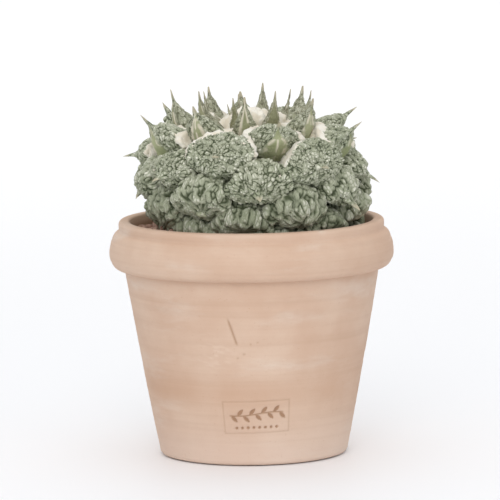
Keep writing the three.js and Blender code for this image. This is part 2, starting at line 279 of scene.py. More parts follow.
# Terracotta, thrown on a wheel and fired without glaze: chalky pinkish buff, with rings and lime bloom.
def firedTerracotta():
    material, tree, place, (cloud, speck, grit), (damp, pressedAndShaded, scuffed) = newMaterial(
        "unglazed_terracotta", ((38, 4, 0.55), (0.8, 2, 0.5), (0.7, 4, 0.7)), ("damp", "pressedAndShaded", "scuffed"))
    # patterns drawn out round the pot, as the wheel leaves them
    bands, rings, bloom = (addNode(tree, "TexNoise", {}, {
        "Vector": addNode(tree, "Mapping", {}, {"Vector": place, "Scale": (drawn, drawn, 1.0)}),
        "Scale": 1 / (size * mm), "Detail": detail, "Roughness": roughness})
        for drawn, size, detail, roughness in (
            (0.02, 5.5, 3, 0.6), (0.02, 1.6, 2, 0.55), (0.25, 16, 5, 0.62)))
    high = addNode(tree, "SeparateXYZ", {}, {"Vector": place}, "Z")
    wet, low = (addNode(tree, "Math", {"operation": "MULTIPLY"}, {0: a, 1: b})
                for a, b in ((damp, 0.75), (grit, 0.5)))
    # the colour is painted paler towards the foot: painted light bounced up from the floor, with some lime
    # bloom there
    # the dark pressed colour fills the stamp, scratch and pits, and is also painted shade on the inside wall
    clay = paint(tree, "#d0b099", ("#d9bea9", cloud, 0.3, 0.7), ("#c5a48c", bands, 0.42, 0.75, 0.0, 0.42),
                 ("#e2d6ca", bloom, 0.52, 0.74, 0.0, 0.4), ("#e6d2c4", high, 0.0, 0.032, 0.5, 0.0),
                 ("#b98d70", speck, 0.66, 0.74, 0.0, 0.35), ("#c39c80", wet), ("#9a7455", pressedAndShaded),
                 ("#efdfd0", scuffed))
    height = addNode(tree, "Math", {"operation": "MULTIPLY_ADD"}, {0: rings, 1: 0.5, 2: low})
    finish(tree, {"Base Color": clay, "Roughness": 0.86, "IOR": 1.5}, height, 0.45, 0.35)
    return material


# Loose wool, as grown: off-white hairs, matted, and painted darker and yellower where it lies deep, out of the
# light: painted shade.
def axilWool():
    material, tree, _, (drift, matted), (depth,) = newMaterial(
        "matted_plant_wool", ((5, 3, 0.55), (0.5, 4, 0.7)), ("depth",))
    # painted shade: where the depth mark is low, the hair is painted a darker yellow-brown
    hair = paint(tree, "#ebe1cd", ("#fbf6ea", drift, 0.35, 0.65), ("#c9b592", depth, 0.0, 0.6, 0.6, 0.0))
    finish(tree, {"Base Color": hair, "Roughness": 1.0, "IOR": 1.4, "Sheen Weight": 0.4,
                  "Sheen Roughness": 0.6}, matted, 0.8, 0.4)
    return material


# Crushed lava, sieved to 2 to 4 mm: dull pinkish brown, full of pores.
def crushedLava():
    material, tree, _, (pores, pitted), (tone,) = newMaterial(
        "crushed_lava_gravel", ((0.7, 2, 0.55), (0.6, 3, 0.7)), ("tone",))
    stone = paint(tree, "#9c7765", ("#dcb8a6", tone), ("#6d4d3f", pores, 0.5, 0.7, 0.0, 0.5))
    finish(tree, {"Base Color": stone, "Roughness": 0.95, "IOR": 1.5}, pitted, 0.8, 0.3)
    return material


# Mineral potting mix, damp: dark brown crumbs of peat with pale grit.
def pottingMix():
    material, tree, place, (drift,), _ = newMaterial("damp_potting_mix", ((3, 4, 0.55),))
    grit, crumbs = (addNode(tree, "TexVoronoi", {}, {"Vector": place, "Scale": 1 / (2.2 * mm)}, socket)
                    for socket in ("Color", "Distance"))
    earth = paint(tree, "#4a382b", ("#6e5542", drift, 0.35, 0.65), ("#a08a74", grit, 0.7, 0.85))
    finish(tree, {"Base Color": earth, "Roughness": 1.0, "IOR": 1.45}, crumbs, 1.0, 1.0)
    return material


# The stem between the tubercles, as grown: smooth moist green, paler towards the root.
def stemFlesh():
    material, tree, place, (drift, dimples), _ = newMaterial(
        "smooth_cactus_stem", ((6, 3, 0.55), (2.5, 3, 0.55)))
    high = addNode(tree, "SeparateXYZ", {}, {"Vector": place}, "Z")
    flesh = paint(tree, "#5f6f45", ("#7d8a5c", drift, 0.35, 0.65), ("#b69a74", high, 0.105, 0.125, 1.0, 0.0))
    finish(tree, {"Base Color": flesh, "Roughness": 0.6, "IOR": 1.42}, dimples, 0.5, 0.5)
    return material


epidermis, terracotta, wool = cactusEpidermis(), firedTerracotta(), axilWool()
lava, earth, flesh = crushedLava(), pottingMix(), stemFlesh()
print("materials made")


def boxOf(name):
    # the low and the high corner of a solid's box, in millimetres
    return [np.array(corner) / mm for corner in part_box(name)]


potLow, potHigh = boxOf("pot")
stemLow, stemHigh = boxOf("stem_with_taproot")
gravelTop, soilTop = boxOf("gravel")[1][2], boxOf("soil")[1][2]
potHeight = potHigh[2]
rimRadius = (potHigh[0] - potLow[0]) / 2
stemRadius = (stemHigh[0] - stemLow[0]) / 2

plant = {
    "count": 55, "length": 36.0, "halfWidth": 19.0, "halfDepth": 14.0, "keelDepth": 8.0,
    "firstAzimuth": 146.0, "lowestPolar": 116.0, "polarPower": 0.72,
    "youngLean": 20.0, "oldLean": 130.0, "leanFrom": 9, "leanTo": 44, "youngHook": 22.0,
    "crownHeight": 24.0, "underside": 48.6, "seat": 0.3,
    # tubercles that keep some of the slender, bare-pointed shape of young ones, 0 to 1
    "sharp": {17: 0.4, 18: 0.8, 19: 0.6, 20: 0.5, 22: 1.0, 23: 0.9, 26: 0.6, 27: 1.0, 30: 0.8, 31: 1.0,
              32: 0.6, 35: 0.6, 36: 0.9, 40: 0.6, 44: 0.6},
    # tips that bend away from their line of growth: outwards and upwards
    "bends": {14: (0.0, 3.0), 18: (6.0, -5.0), 22: (1.0, 7.0), 23: (1.0, 5.0), 25: (0.0, -3.0),
              27: (1.0, -3.0), 31: (1.0, -4.0), 36: (2.0, -3.0)},
    "sway": 4.0,  # how far the lowest tier sits to the right of the crown
    "press": 2.2, "overlap": 0.9,  # how softly neighbours flatten each other, and how far they push in
    # the warts on young, middle-aged and old tubercles
    "wartWidth": (1.4, 1.9, 4.0), "wartLength": (4.0, 3.8, 10.5), "wartHeight": (0.6, 1.25, 3.1),
    "fineGrid": 0.38, "coarseGrid": 0.52,  # the steps between points of the skin
}
stemZ = stemHigh[2] - plant["crownHeight"]


def fixedChance(n):
    # a repeatable number from 0 to 1 for each tubercle, the same as the solids have: the tail of a large sine
    return abs(math.sin(n * 12.9898 + 4.1) * 43758.5453) % 1


def tuberclePlan(k):
    # where tubercle k grows: a golden angle round from the last and lower down the stem, with its middle
    # line's three control points, its sideways direction and its half sizes
    s = plant
    azimuth = math.radians(s["firstAzimuth"] - 90) + goldenAngle * k
    outward = np.array([math.cos(azimuth), math.sin(azimuth), 0.0])
    up = np.array([0.0, 0.0, 1.0])

    def along(fromUpright):  # the direction that leans outwards by an angle from straight up
        return outward * math.sin(fromUpright) + up * math.cos(fromUpright)

    polar = math.radians(s["lowestPolar"]) * ((k + 0.4) / s["count"]) ** s["polarPower"]
    halfHeight = s["underside"] if polar > math.pi / 2 else s["crownHeight"]
    base = outward * stemRadius * math.sin(polar) + up * (stemZ + halfHeight * math.cos(polar))
    facing = math.atan2(math.sin(polar) / stemRadius, math.cos(polar) / halfHeight)
    lean = math.radians(mix(s["youngLean"], s["oldLean"], smoothStep(k, s["leanFrom"], s["leanTo"])))
    age = k / (s["count"] - 1)
    grown = (1 - math.exp(-(k + 3) / 5)) * (1 - 0.42 * smoothStep(age, 0.28, 1))
    length = s["length"] * grown * mix(0.95, 1.05, fixedChance(k))
    wasted = smoothStep(age, 0.66, 1)  # the oldest are smaller again
    breadth = mix(0.2, 1, smoothStep(k, -1, 26)) * (1 - 0.3 * wasted)
    thickness = mix(0.35, 1, smoothStep(k, -2, 22)) * (1 - 0.24 * wasted)
    hook = math.radians(s["youngHook"]) * min(1, max(0, 1 - k / 30))
    side = np.cross(up, outward)
    tip = base + along(lean) * length
    growing = unit(tip - base)
    bendOut, bendUp = s["bends"].get(k, (0.0, 0.0))
    return {
        "k": k, "side": side, "growing": growing, "face": unit(np.cross(growing, side)),
        "base": base + along(facing) * s["seat"],
        "control": base + along(mix(facing, lean, 0.3) + hook) * length * 0.55,
        "tip": tip + outward * bendOut + up * bendUp, "length": length,
        "halfWidth": s["halfWidth"] * breadth, "halfDepth": s["halfDepth"] * thickness,
        "keel": s["keelDepth"] * thickness,
    }


def middleLine(plan, t):
    # quadratic curve from the base past the control point to the tip
    t = np.asarray(t)[..., None]
    return plan["base"] * (1 - t) ** 2 + plan["control"] * 2 * t * (1 - t) + plan["tip"] * t * t


def reach(plan, direction):
    # how far the cross-section reaches from the middle line in a direction: half an ellipse above it and
    # half one below
    across = direction @ plan["side"] * plan["halfWidth"]
    deep = direction @ plan["face"]
    return math.hypot(across, deep * (plan["keel"] if deep < 0 else plan["halfDepth"]))


def partings(plans):
    # for each tubercle, the planes that part it from the gravel and from each neighbour: (point, direction
    # out, whether the neighbour is younger). It divides the way between two middles as their reaches do.
    gap, longWay = 1.5, 26  # pairs farther apart across or along their growth have none
    walls = [[(np.array([0, 0, gravelTop - 1.0]), np.array([0, 0, -1.0]), False)] for _ in plans]
    for a in plans:
        for b in plans[a["k"] + 1:]:
            midA, midB = middleLine(a, 0.45), middleLine(b, 0.45)
            growing = unit(a["growing"] + b["growing"])
            apart = (midB - midA) @ growing
            between = midB - midA - growing * apart
            distance = np.linalg.norm(between)
            towardsB = between / distance
            reachA, reachB = reach(a, towardsB), reach(b, -towardsB)
            if distance > reachA + reachB + gap or abs(apart) > longWay:
                continue
            at = mix(midA, midB, reachA / (reachA + reachB))
            walls[a["k"]].append((at, towardsB, False))
            walls[b["k"]].append((at, -towardsB, True))
    return walls


def tubercleBody(plan):
    # The smooth body: across = cos(angle) * width(t), up = sin(angle) * height(t) above the middle line, and
    # a keel below it. Middle-aged bodies are cushions with a rounded belly that end in a blunt front with a
    # horn under it; young ones are slender wedges with a V-shaped keel.
    k, sharp = plan["k"], plant["sharp"].get(plan["k"], 0.0)
    cushion = smoothStep(k, 12, 24)  # 0 a young wedge, 1 a full cushion
    old = smoothStep(k, 30, 42)
    blunted = cushion * (1 - 0.5 * sharp)
    blunt = mix(0.77, 0.84, old) - 0.06 * sharp  # where the blunt front ends
    hornLength = (mix(0.94, 1.0, smoothStep(k, 14, 20)) * mix(1.0, 0.86, smoothStep(k, 34, 42))
                  * mix(1.0, 0.88, smoothStep(k, 42, 50)))
    size = mix(plant["fineGrid"], plant["coarseGrid"], max(old, 1 - smoothStep(k, 9, 15)))
    halfWidth = plan["halfWidth"] * mix(0.86, 1.16, cushion)
    halfDepth = plan["halfDepth"] * mix(0.9, 1.0, cushion)
    keel = plan["keel"] * mix(0.8, 1.2, smoothStep(k, 18, 26))

    def taper(t, end):  # falls to 0 at the tip over the last part of the length
        return np.clip((1 - t) / end, 0, 1)

    def dome(t, start, power, further=0.0):  # 1 up to the start, then down to 0 at the blunt front
        return np.sqrt(np.clip(1 - (np.clip(t - start, 0, 1) / (blunt + further - start)) ** power, 0, 1))

    def widthAt(t):
        wedge = 1.05 * (1 - 0.84 * smoothStep(t, 0.12, 0.8)) * (0.8 + 0.2 * smoothStep(t, 0, 0.25))
        full = dome(t, 0.4, 2.5) * mix(0.74, 1.0, smoothStep(t, 0, 0.4))
        return mix(wedge * taper(t, 0.32) ** 0.8, np.hypot(full, 0.24 * taper(t, 0.34)), blunted)

    def heightAt(t):
        wedge = 0.95 * (1 - 0.84 * smoothStep(t, 0.05, 0.78))
        full = dome(t, 0.42, 2.4) * mix(0.8, 1.0, smoothStep(t, 0, 0.45))
        return mix(wedge * taper(t, 0.32) ** 0.8, np.hypot(full, 0.18 * taper(t, 0.34)), blunted)

    def depthAt(t):
        vee = (1.0 - 0.75 * smoothStep(t, 0.1, 0.9)) * taper(t, 0.32) ** 0.8
        full = np.sqrt(dome(t, 0.35, 2.0, 0.02) ** 2 * 0.92 + (0.38 * taper(t, 0.34)) ** 2)
        return mix(vee, full, blunted) * mix(0.85, 1.0, smoothStep(t, 0, 0.3))

    # rows at even steps along the upper outline, so that the blunt front is as finely divided as the back
    fine = np.linspace(0, 1, 900)
    outline = np.stack([fine * plan["length"], heightAt(fine * 0.999) * halfDepth], axis=-1)
    run = np.concatenate([[0], np.cumsum(np.linalg.norm(np.diff(outline, axis=0), axis=-1))])
    rows = int(run[-1] / size)
    share = np.clip(np.interp(np.linspace(0, run[-1], rows + 1)[:-1], run, fine), 0, 0.9985)
    t = share * hornLength
    arcTop = math.pi * math.sqrt((halfWidth ** 2 + halfDepth ** 2) / 2)
    above = max(24, int(arcTop / size))
    below = max(14, int(halfWidth * 2.2 / (size * mix(2.0, 1.3, cushion))))
    angle = np.concatenate([np.linspace(0, math.pi, above, endpoint=False),
                            np.linspace(math.pi, 2 * math.pi, below, endpoint=False)])
    centre = middleLine(plan, t)
    ahead = unit(middleLine(plan, np.minimum(t + 0.01, 1)) - middleLine(plan, t - 0.01))
    face = unit(np.cross(ahead, plan["side"]))
    width, height, depth = (f(t)[:, None] for f in (widthAt, heightAt, depthAt))
    c, s = np.cos(angle)[None, :], np.sin(angle)[None, :]
    vee = 0.7 * (1 - np.abs(c)) + 0.3 * (1 - np.abs(c)) ** 2.2
    belly = np.clip(1 - np.abs(c) ** 2.2, 0, 1) ** 0.7
    bellied = smoothStep(k, 19, 25) * (1 - sharp)
    rise = np.where(s > 0, np.clip(s, 0, 1) ** 0.9 * height * halfDepth,
                    -mix(vee, belly, bellied) * depth * keel * np.minimum(1, width * 1.8))
    across = np.sign(c) * np.abs(c) ** 0.9 * width * halfWidth
    grid = centre[:, None, :] + plan["side"] * across[..., None] + face[:, None, :] * rise[..., None]
    tip = middleLine(plan, np.array(hornLength))

    def swayed(points):  # moved to the right, by more the lower the point lies below the stem's widest part
        shift = plant["sway"] * smoothStep(stemZ - points[..., 2:], 0, 16)
        return points + shift * np.array([1.0, 0.0, 0.0])

    form = {"cushion": cushion, "old": old, "sharp": sharp, "blunt": blunt, "above": above, "angle": angle,
            "t": t, "share": share, "middle": swayed(centre)[:, None, :]}
    return swayed(grid), swayed(tip), form


def tubercleGrid(plan, walls):
    # the body with uneven lumps, pressed flat by each wall, and with warts on its upper face, its front and
    # the flanks of its belly: rounded lobes on cells, moved along the skin's normal
    grid, tip, form = tubercleBody(plan)
    k, cushion, old, sharp, blunt, t, share, middle = (plan["k"], *(
        form[key] for key in ("cushion", "old", "sharp", "blunt", "t", "share", "middle")))

    # large uneven lumps, so that no two are alike
    out = unit(grid - middle)
    free = smoothStep(share, blunt - 0.03, blunt + 0.1)[:, None]  # 1 on the horn that stands free
    lump = softNoise(grid, 10.0, 5) * 1.8 + softNoise(grid, 5.0, 6) * mix(0.9, 1.4, old)
    lump = lump * mix(0.55, 1.0, cushion) * (1 - free) * smoothStep(1 - share, 0.02, 0.3)[:, None]
    grid = grid + out * lump[..., None]

    # pressed flat by each wall: what lies beyond is drawn back to it, with a soft edge
    clear = -9.0  # far from any younger neighbour
    contact = np.full(grid.shape[:2], clear)
    for at, direction, younger in walls:
        beyond = (grid - at) @ direction - plant["overlap"]
        back = 0.5 * (beyond + np.sqrt(beyond ** 2 + plant["press"] ** 2)) * (1 - 0.75 * free)
        grid = grid - direction * back[..., None]
        if younger:
            contact = np.maximum(contact, beyond - back)

    # warts: rounded lobes parted by creases, drawn out forwards on the upper tubercles and downwards on the
    # lowest, bent by slow noise and gathered in larger lumps; all from distances in three directions, so
    # there is no seam
    lobeWidth, lobeLength, lobeHeight = (
        mix(mix(young, grown, cushion), aged, old)
        for young, grown, aged in (plant["wartWidth"], plant["wartLength"], plant["wartHeight"]))
    lengthwise = unit(mix(plan["growing"], np.array([0.0, 0.0, -1.0]), 0.75 * old))
    axes = np.stack([plan["side"], lengthwise, np.cross(plan["side"], lengthwise)])
    place = (grid - plan["base"]) @ axes.T
    bend = np.stack([softNoise(grid, 4.0, seed) + 0.45 * softNoise(grid, 1.9, seed + 1)
                     for seed in (11, 13, 17)], axis=-1)
    place = place + bend * np.array([1.1, 1.8, 1.1])
    lobe = place / np.array([lobeWidth, lobeLength, lobeWidth])
    first, second, tone = cells(lobe + 31 * k, 21)
    openHere = smoothStep(softNoise(grid, 2.3, 16), -0.75, 0.0)  # some creases are closed
    bigLobe = mix(0.85, pillow(first, second, 0.5), openHere) * (0.5 + 0.65 * tone)
    first, second, own = cells(lobe * 2.1 + 17 * k, 25)
    smallLobe = pillow(first, second, 0.5) * (0.5 + 0.6 * own)
    first, second, own = cells(lobe / np.array([2.4, 1.5, 2.4]) + 7 * k, 29)
    floret = pillow(first, second, 0.4) * (0.5 + 0.6 * own)

    # the face ends near the seam on the youngest, at a narrow keel later, and covers the front and belly of
    # cushions: measured by the turn from the keel, 0 there and 1 at the seams
    turned = np.abs(form["angle"] - 1.5 * math.pi)[None, :]
    turned = np.minimum(turned, 2 * math.pi - turned) / (math.pi / 2)
    limit = mix(0.8, 0.2, smoothStep(k, 4, 13)) * smoothStep(1 - t, 0.0, 0.5)[:, None]
    covered = smoothStep(k, 20, 25) * (1 - sharp)
    limit = limit - 1.2 * covered * smoothStep(t, 0.36, 0.56)[:, None] - 1.2 * old * (1 - 0.75 * sharp)
    ragged = turned + 0.07 * cushion * softNoise(grid, 3.2, 14)
    wrinkled = smoothStep(ragged, limit - 0.02, limit + 0.1)
    bare = 1 - old * (1 - sharp)
    spike = smoothStep(share, 0.88, 0.97)[:, None] * bare
    wrinkled = wrinkled * (1 - 0.9 * spike) * smoothStep(t, 0.02, 0.12)[:, None]
    relief = 0.8 * bigLobe + mix(0.16, 0.22, old) * smallLobe + mix(0.6, 0.7, old) * floret - 0.45
    normal = unit(np.cross(np.roll(grid, -1, axis=1) - np.roll(grid, 1, axis=1), np.gradient(grid, axis=0)))
    if np.mean(np.sum(normal * (grid - middle), axis=-1)) < 0:
        normal = -normal
    grid = grid + normal * (lobeHeight * relief * wrinkled * (1 - 0.75 * free * bare))[..., None]

    # a thin dry rim borders the wrinkled face of the younger ones, and a pale line runs along its keel
    border = np.clip(1 - np.abs(ragged - limit) / mix(0.16, 0.09, cushion), 0, 1)
    ridgeLine = np.clip(1 - turned / 0.05, 0, 1) * smoothStep(k, 9, 15)
    faded = 1 - smoothStep(k, 17, 24) * mix(0.85, 0.4, sharp)
    edge = np.maximum(border, ridgeLine) * faded * smoothStep(t, 0.1, 0.4)[:, None]
    edge = edge * smoothStep(softNoise(grid, 2.5, 15), -0.8, 0.2)
    ridge = np.clip(bigLobe * (0.55 + 0.14 * smallLobe + 0.45 * floret), 0, 1)
    ridge = mix(0.4, ridge, wrinkled)
    marks = {"ridge": ridge, "wrinkled": wrinkled, "edge": edge, "tone": tone,
             "point": smoothStep(share, 0.8, 0.98)[:, None] * bare + 0 * ridge,
             "youth": np.full_like(ridge, 1 - smoothStep(k, 6, 22)),
             "lobeX": place[..., 0], "lobeY": place[..., 1] + 13.7 * k, "lobeZ": place[..., 2]}
    return grid, tip, marks, (grid, share, form["above"], contact)


plans = [tuberclePlan(k) for k in range(plant["count"])]
walls = partings(plans)
surfaces = []
count = 0
for plan in plans:
    grid, tip, marks, surface = tubercleGrid(plan, walls[plan["k"]])
    surfaces.append(surface)
    points, quads, triangles = closedTube(grid, endPoint=tip)
    marks = {mark: np.concatenate([values.reshape(-1), [values[0].mean(), values[-1].mean()]])
             for mark, values in marks.items()}
    name = "tubercle_%02d" % (plan["k"] + 1)
    count += makePiece(name + "_skin", points, quads, triangles, epidermis, marks, [name])
print("tubercles:", count, "triangles")


def stemGrid():
    # the stem's outline turned round: an ellipsoid crown and underside above a tapered taproot, with a ripple
    polar = np.radians(np.linspace(4, 90, 26))
    crown = np.stack([stemRadius * np.sin(polar), stemZ + plant["crownHeight"] * np.cos(polar)], axis=-1)
    down = np.radians(np.linspace(2, 36, 12))
    under = np.stack([stemRadius * np.cos(down), stemZ - plant["underside"] * np.sin(down)], axis=-1)
    share = np.linspace(0.06, 1, 22)
    rootTop, neckZ = under[-1]
    root = np.stack([rootTop * (1 - share) ** 0.55 * (1 - 0.12 * share), mix(neckZ, stemLow[2] + 0.4, share)],
                    axis=-1)
    outline = np.concatenate([crown, under, root[:-1]])
    angle = np.linspace(0, 2 * math.pi, 72, endpoint=False)
    radius, z = outline[:, :1], outline[:, 1:] + 0 * angle
    grid = np.stack([radius * np.cos(angle), radius * np.sin(angle), z], axis=-1)
    ripple = softNoise(grid, 9.0, 41) * 0.5 - 0.5
    grid[..., :2] *= (1 + ripple / np.maximum(radius, 4))[..., None]
    return grid


points, quads, triangles = closedTube(stemGrid(), [0, 0, stemHigh[2] - 0.3], [0, 0, stemLow[2] + 0.5])
makePiece("stem_and_root", points, quads, triangles, flesh, {}, ["stem_with_taproot"])
print("stem made")

woolSizes = {
    # tufts pushed up between the youngest tubercles: place from the stem's centre, then half sizes
    "tufts": ((3, -18, 31, 7.5, 4.5, 7), (-15, -27, 23, 9, 4, 4), (-21, -10, 31, 5, 4, 6),
              (14, -8, 31, 6, 4, 5), (36, -22, 17, 4, 4, 6)),
    "tuftHairs": 50, "hairLength": (4.0, 8.5), "hairRadius": 0.14, "crownHairs": 500,
    "felt": 11.5, "feltEdge": 2.5, "reach": 62.0,  # its thickness at the middle and at its edge, degrees down
    "thick": 2.8, "strands": 30, "strandRadius": 0.084,  # the wool that is squeezed out of each axil
}


def hairs(roots, directions, lengths, curl, radius, seed):
    # thin three-sided tapered tubes, all at once: each bends from its direction towards a random one
    count, steps = len(roots), np.linspace(0, 1, 6)[None, :, None]
    rng = np.random.default_rng(seed)
    drift = unit(directions + rng.normal(0, 1, (count, 3)) * curl)
    line = roots[:, None] + directions[:, None] * lengths[:, None, None] * steps * (1 - 0.5 * steps)
    line = line + drift[:, None] * lengths[:, None, None] * 0.5 * steps ** 2
    ahead = unit(np.gradient(line, axis=1))
    sideways = unit(np.cross(ahead, rng.normal(0, 1, (count, 1, 3)) + 0 * ahead))
    other = np.cross(ahead, sideways)
    angle = (np.arange(3) * 2 * math.pi / 3)[None, None, :, None]
    thick = radius * (1 - 0.75 * steps)[..., None]
    round_ = sideways[:, :, None] * np.cos(angle) + other[:, :, None] * np.sin(angle)
    rings = line[:, :, None] + thick * round_
    points = np.concatenate([rings.reshape(count, -1, 3), roots[:, None], line[:, -1:]], axis=1)
    one, quads, triangles = closedTube(rings[0], roots[0], line[0, -1])
    shift = np.arange(count)[:, None, None] * len(one)
    return points.reshape(-1, 3), (quads + shift).reshape(-1, 4), (triangles + shift).reshape(-1, 3)


def feltGrid():
    # the felt over the crown: the stem's ellipsoid swollen by a lumpy thickness, and an underside close to it
    s = woolSizes
    top, rows, rowsUnder = 1.5, 70, 18
    polar = np.radians(np.concatenate([np.linspace(top, s["reach"], rows),
                                       np.linspace(s["reach"], top, rowsUnder)]))[:, None]
    thick = np.concatenate([np.linspace(s["felt"], s["feltEdge"], rows), np.full(rowsUnder, 0.35)])[:, None]
    ball = onBall(polar, np.linspace(0, 2 * math.pi, 160, endpoint=False))
    place = ball * np.array([34.0, 34.0, 30.0])
    lumps = sum(high * softNoise(place, size, seed) for size, seed, high in ((6.0, 51, 3.4), (2.6, 52, 2.0),
                                                                            (1.2, 53, 0.8)))
    swell = np.maximum(thick + np.where(thick > 1, lumps + 0.6, 0), 0.3)
    half = np.array([stemRadius, stemRadius, plant["crownHeight"]]) + swell[..., None]
    return ball * half + [0, 0, stemZ], np.clip(swell / 8, 0, 1)


def tuft(at, half, seed):
    # a lump of matted wool: a ball drawn out to three half sizes, its surface moved by three sizes of noise
    polar = np.linspace(0.06, math.pi - 0.06, 26)[:, None]
    ball = onBall(polar, np.linspace(0, 2 * math.pi, 44, endpoint=False))
    lumps = sum(high * softNoise(ball * half, size, seed)
                for size, high in ((4, 0.3), (1.8, 0.18), (0.9, 0.1)))
    return at + ball * half * (1 + lumps)[..., None], ball


def axilWoolGrid(k):
    # wool squeezed out between tubercle k and its younger neighbours: a copy of its upper face near the base
    # that stands proud along the line of contact and dips under the skin elsewhere; also where it shows
    grid, share, above, contact = surfaces[k]
    rows = np.unique(np.linspace(1, np.searchsorted(share, 0.66), 26).astype(int))
    columns = np.unique(np.linspace(above * 0.02, above * 0.98, 38).astype(int))
    skin, share = grid[np.ix_(rows, columns)], share[rows]
    out = unit(skin - middleLine(plans[k], share)[:, None])
    ragged = contact[np.ix_(rows, columns)] + 2.0 * softNoise(skin, 5.0, 61) + 1.2 * softNoise(skin, 1.8, 64)
    show = smoothStep(ragged, -3.5, -1.3) * (1 - smoothStep(share, 0.46, 0.7))[:, None]
    show = show * (1 - smoothStep(k, 21, 34)) * mix(1.3, 1.0, smoothStep(k, 10, 20))
    rough = softNoise(skin, 2.6, 62) + softNoise(skin, 1.3, 63) * 0.5
    outer = skin + out * (show * (woolSizes["thick"] + rough + 1.0) - 1.0)[..., None]
    inner = skin[:, ::-4] - out[:, ::-4] * 1.8
    return np.concatenate([outer, inner], axis=1), outer, out, show


pieces = []


def addWool(piece, depth):
    # keeps (points, quads, triangles) for the one mesh, with how far into the light it stands, 0 to 1
    points, quads, triangles = piece
    offset = sum(len(earlier[0]) for earlier in pieces)
    pieces.append((points, quads + offset, triangles + offset, depth + np.zeros(len(points))))


rng = np.random.default_rng(7)
grid, swell = feltGrid()
# the felt's thickness sets its painted shade: thin felt is painted darker
addWool(closedTube(grid), np.concatenate([swell.reshape(-1), [0.8, 0.0]]))
polar = np.radians(rng.uniform(3, woolSizes["reach"], woolSizes["crownHairs"]))
normal = onBall(polar, rng.uniform(0, 2 * math.pi, woolSizes["crownHairs"]))
roots = normal * (np.array([stemRadius, stemRadius, plant["crownHeight"]]) + [3.5, 3.5, 9.0]) + [0, 0, stemZ]
lengths = rng.uniform(*woolSizes["hairLength"], woolSizes["crownHairs"])
addWool(hairs(roots, normal, lengths, 0.9, woolSizes["hairRadius"], 8), 0.8)

for index, (x, y, z, *half) in enumerate(woolSizes["tufts"]):
    grid, ball = tuft(np.array([x, y, stemZ + z]), np.array(half), 90 + index)
    addWool(closedTube(grid), 0.85)
    pick = rng.choice(ball.shape[0] * ball.shape[1], woolSizes["tuftHairs"])
    lengths = rng.uniform(1.5, 4.5, len(pick))
    addWool(hairs(grid.reshape(-1, 3)[pick], unit(ball.reshape(-1, 3)[pick]), lengths, 1.2,
                  woolSizes["strandRadius"], 200 + index), 0.95)

for k in range(2, 34):
    ring, outer, out, show = axilWoolGrid(k)
    addWool(closedTube(ring), 0.8)
    weight = np.where(show > 0.3, show, 0).reshape(-1)
    if weight.sum() < 1:
        continue
    pick = rng.choice(len(weight), woolSizes["strands"], p=weight / weight.sum())
    out = out.reshape(-1, 3)[pick]
    direction = unit(out * 0.3 + rng.normal(0, 0.7, out.shape))
    lengths = rng.uniform(2.0, 4.5, len(pick))
    roots = outer.reshape(-1, 3)[pick]
    addWool(hairs(roots, direction, lengths, 1.2, woolSizes["strandRadius"], 100 + k), 0.95)

points, quads, triangles, depth = map(np.concatenate, zip(*pieces))
count = makePiece("axil_wool", points, quads, triangles, wool, {"depth": depth}, ["crown_wool"])
print("wool:", count, "triangles")

gravel = {"stones": 1300, "size": (0.9, 2.0), "from": 34.0, "to": 61.2, "rows": 4, "ring": 7,
          "heap": 2.6, "heapFrom": 57.0, "heapTo": 49.0}


def stones():
    # squashed spheres with a rough surface, all at once: each has its own axes, turn and size
    s = gravel
    rng = np.random.default_rng(31)
    n = s["stones"]
    far = np.sqrt(rng.uniform(s["from"] ** 2, s["to"] ** 2, n))
    turn = rng.uniform(0, 2 * math.pi, n)
    half = rng.uniform(*s["size"], n)
    heaped = s["heap"] * smoothStep(-far, -s["heapFrom"], -s["heapTo"])  # higher where they meet the plant
    centre = np.stack([far * np.cos(turn), far * np.sin(turn),
                       soilTop + rng.uniform(0.6, gravelTop - soilTop - 0.4, n) + heaped], axis=-1)
    polar = np.linspace(0, math.pi, s["rows"] + 2)[1:-1, None]
    angle = np.linspace(0, 2 * math.pi, s["ring"], endpoint=False)
    ball, quads, triangles = closedTube(onBall(polar, angle), [0, 0, 1], [0, 0, -1])
    frames = np.linalg.qr(rng.normal(0, 1, (n, 3, 3)))[0]
    stretch = rng.uniform(0.65, 1.2, (n, 1, 3))
    shape = ball[None] * (1 + 0.22 * softNoise(ball[None] + centre[:, None] * 3, 0.8, 71))[..., None]
    points = centre[:, None] + np.einsum("nij,nkj->nki", frames, shape * stretch) * half[:, None, None]
    mirrored = (np.linalg.det(frames) < 0)[:, None, None]
    shift = np.arange(n)[:, None, None] * len(ball)
    quads, triangles = (np.where(mirrored, faces[None, :, ::-1], faces[None]) + shift
                        for faces in (quads, triangles))
    tone = np.repeat(rng.uniform(0, 1, n), len(ball))
    return points.reshape(-1, 3), quads.reshape(-1, 4), triangles.reshape(-1, 3), tone


points, quads, triangles, tone = stones()
count = makePiece("lava_gravel_stones", points, quads, triangles, lava, {"tone": tone},
                  ["gravel"])
print("gravel:", count, "triangles")

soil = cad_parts["soil"]
soil.data.materials.clear()
soil.data.materials.append(earth)

